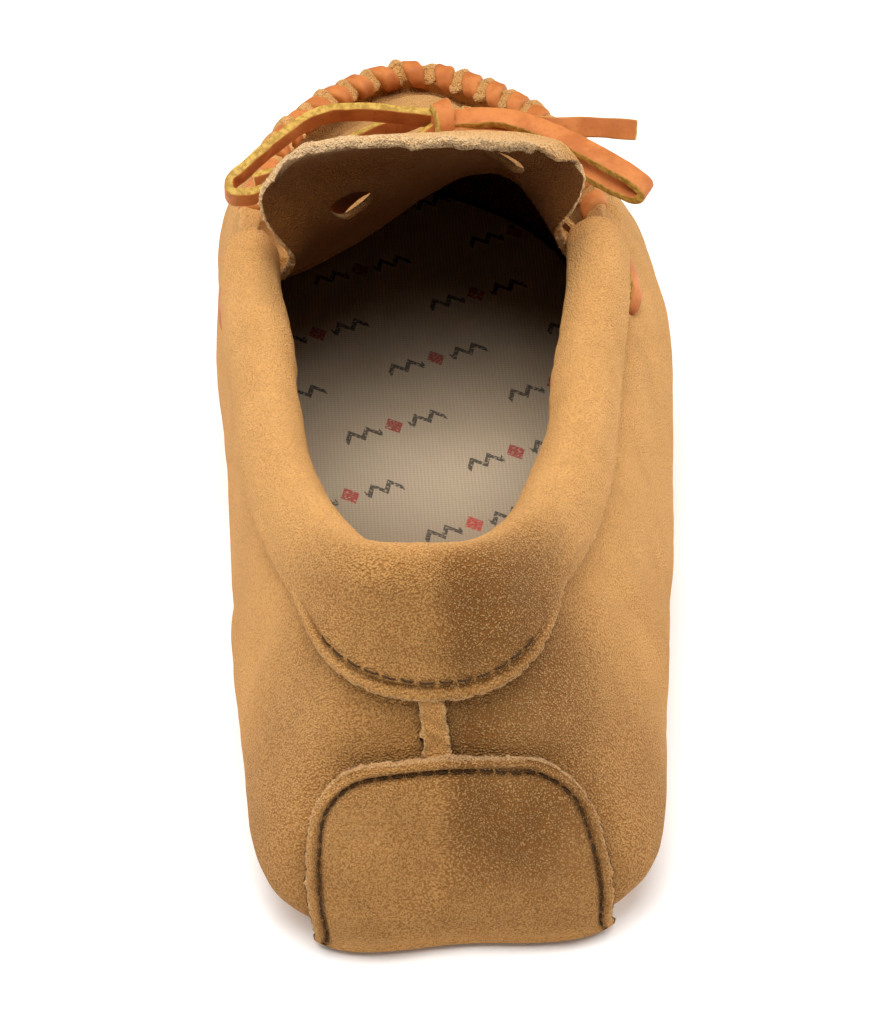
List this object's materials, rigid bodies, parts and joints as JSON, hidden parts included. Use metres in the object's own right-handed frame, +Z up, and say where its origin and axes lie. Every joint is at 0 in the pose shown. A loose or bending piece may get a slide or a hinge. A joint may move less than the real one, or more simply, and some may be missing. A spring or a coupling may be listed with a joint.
{
  "type": "moccasin",
  "caption": "Right-foot soft-sole suede moccasin with whip-laced toe plug, standing tongue, rolled collar, lace bow and folded heel tab.",
  "frame": {"origin": "under the middle of the shoe's box, bow cords left out, on the plane the sole rests on", "axes": "+X to the outer side of the right foot, +Y towards the toe, +Z up"},
  "size_m": [0.0956, 0.2554, 0.0971],
  "materials": {
    "suede": "brushed napped suede, honey tan",
    "thong": "smooth rust lace leather with ochre cut edges",
    "thread": "dark brown twisted thread",
    "foam": "soft cream insole foam",
    "liner": "woven greige lining with small printed marks"
  },
  "bodies": {
    "shoe": {"outer_sole": "suede", "leather_body": "suede", "plug": "suede", "collar": "suede", "back_seam_tape": "suede", "toe_lace": "thong", "collar_lace": "thong", "side_lace_left": "thong", "side_lace_right": "thong", "tongue_lace_left": "thong", "tongue_lace_right": "thong", "bow_knot": "thong", "bow_loop_left": "thong", "bow_loop_right": "thong", "bow_tail_left": "thong", "bow_tail_right": "thong", "insole_foam": "foam", "sock_liner": "liner", "collar_thread": "thread", "heel_tab_thread": "thread"},
    "flap": {"tongue_flap": "suede"}
  },
  "joints": [
    {"name": "tongue_fold", "type": "hinge", "parent": "shoe", "child": "flap", "pos_m": [-0.0045, 0.0094, 0.0714], "axis": [1, 0, 0], "range_deg": [0, 50], "stiffness_Nm_per_rad": 0.02}
  ]
}
